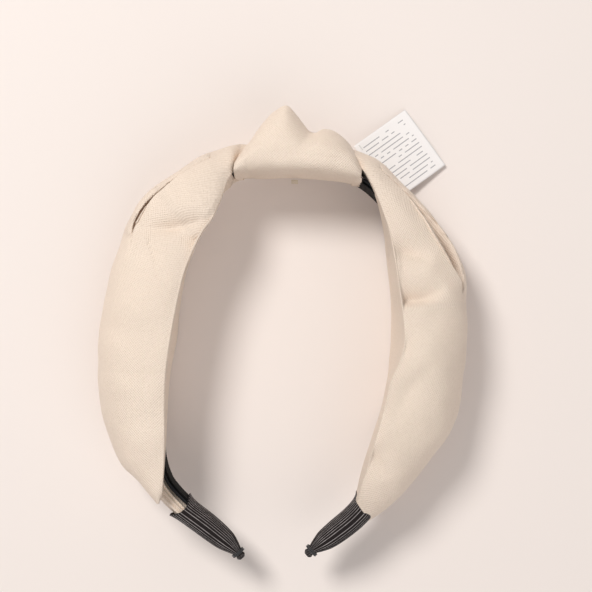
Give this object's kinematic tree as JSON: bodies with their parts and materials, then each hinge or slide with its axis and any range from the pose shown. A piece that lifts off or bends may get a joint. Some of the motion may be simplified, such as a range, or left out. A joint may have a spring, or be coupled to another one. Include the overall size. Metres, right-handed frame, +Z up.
{
  "type": "knotted headband",
  "caption": "Springy hair band with wide soft cloth wings, a raised tied knot at the crown, ribbed elastic sleeves on its tips and a sewn-in care label.",
  "frame": {"origin": "on the resting plane, under the middle of the band's bounding box, with the band lying on its rear edge", "axes": "+Y from the tips towards the knot, +X across the band to the label's side, +Z up from the rear edge to the front edge"},
  "size_m": [0.1483, 0.1864, 0.044],
  "materials": {
    "band_plastic": "moulded, satin black",
    "lining_ribbon": "ribbed woven ribbon",
    "satin": "smooth satin with a broad sheen",
    "wadding": "soft polyester sponge",
    "elastic": "ribbed elastic",
    "thread_black": "spun polyester thread",
    "thread_cream": "spun polyester thread",
    "thread_white": "spun polyester thread",
    "label_tape": "printed satin label tape"
  },
  "bodies": {
    "crown": {"spring_band": "band_plastic", "band_lining": "lining_ribbon", "knot": "satin", "knot_tacks": "thread_cream"},
    "left_arm": {"left_wing": "satin", "left_wadding": "wadding", "left_tip_sleeve": "elastic", "left_tip_thread": "thread_black", "left_sleeve_stitches": "thread_black"},
    "right_arm": {"right_wing": "satin", "right_wadding": "wadding", "right_tip_sleeve": "elastic", "right_tip_thread": "thread_black", "right_sleeve_stitches": "thread_black"},
    "label": {"care_label": "label_tape", "label_stitches": "thread_white"}
  },
  "joints": [
    {"name": "left_arm_flex", "type": "hinge", "parent": "crown", "child": "left_arm", "pos_m": [-0.0235, 0.061, 0.022], "axis": [0, 0, -1], "range_deg": [-4, 20], "stiffness_Nm_per_rad": 0.6, "deforming": ["spring_band", "band_lining"]},
    {"name": "right_arm_flex", "type": "hinge", "parent": "crown", "child": "right_arm", "pos_m": [0.0265, 0.061, 0.022], "axis": [0, 0, 1], "range_deg": [-4, 20], "stiffness_Nm_per_rad": 0.6, "deforming": ["spring_band", "band_lining"]},
    {"name": "label_flap", "type": "hinge", "parent": "right_arm", "child": "label", "pos_m": [0.025, 0.0762, 0.0046], "axis": [0.6293, -0.7771, 0], "range_deg": [0, 30]}
  ]
}
